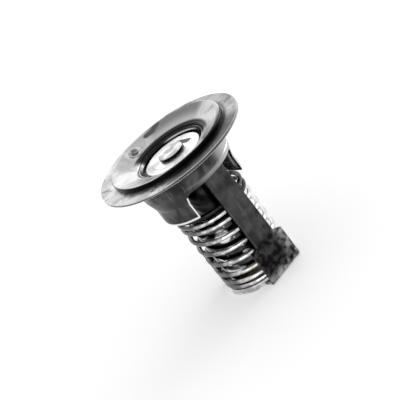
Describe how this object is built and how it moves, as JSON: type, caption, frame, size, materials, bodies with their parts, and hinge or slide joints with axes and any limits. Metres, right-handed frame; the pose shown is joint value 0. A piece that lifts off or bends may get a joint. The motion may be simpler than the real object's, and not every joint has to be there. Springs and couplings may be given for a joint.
{
  "type": "engine thermostat",
  "caption": "Wax-operated coolant valve with a clamping flange, dished seat, spring cage frame and vent pin; it opens by lifting its disc as the coolant warms.",
  "frame": {"origin": "centre of the round flange, on the plane of its underside, the face that seats in the engine housing", "axes": "+Z along the valve axis towards the valve disc and the outlet side; the two frame legs stand on -Y and +Y"},
  "size_m": [0.054, 0.054, 0.0568],
  "materials": {
    "plated_steel": "satin plated sheet, handled",
    "bright_steel": "bright drawn sheet",
    "turned_steel": "turned",
    "dull_steel": "dull, stained in patches",
    "ground_steel": "ground and polished",
    "spring_wire": "bright drawn wire",
    "plated_brass": "tin-plated brass, grey",
    "brass": "plain turned brass",
    "seal_rubber": "matte",
    "packing": "matte",
    "wax": "waxy, metal-filled"
  },
  "bodies": {
    "housing": {"flange_collar": "plated_steel", "hat_bowl": "bright_steel", "seat_ring": "turned_steel", "frame_strap": "dull_steel", "foot_socket": "brass", "piston": "ground_steel", "vent_eyelet": "turned_steel", "return_spring": "spring_wire"},
    "valve": {"valve_disc": "bright_steel", "valve_seal": "seal_rubber", "backing_washer": "turned_steel", "stem_cap": "bright_steel", "valve_stem": "turned_steel", "wax_cup": "plated_brass", "element_cover": "brass", "packing_ring": "packing", "rubber_boot": "seal_rubber", "wax_charge": "wax", "spring_retainer": "plated_steel", "snap_ring": "spring_wire"},
    "vent_pin": {"jiggle_pin": "dull_steel"}
  },
  "joints": [
    {"name": "valve_lift", "type": "slide", "parent": "housing", "child": "valve", "axis": [0, 0, 1], "range_m": [0, 0.008], "stiffness_N_per_m": 936, "springref_m": -0.012, "deforming": ["return_spring"]},
    {"name": "vent_pin_rise", "type": "slide", "parent": "housing", "child": "vent_pin", "axis": [0.0428, -0.3485, 0.9363], "range_m": [0, 0.001]}
  ]
}
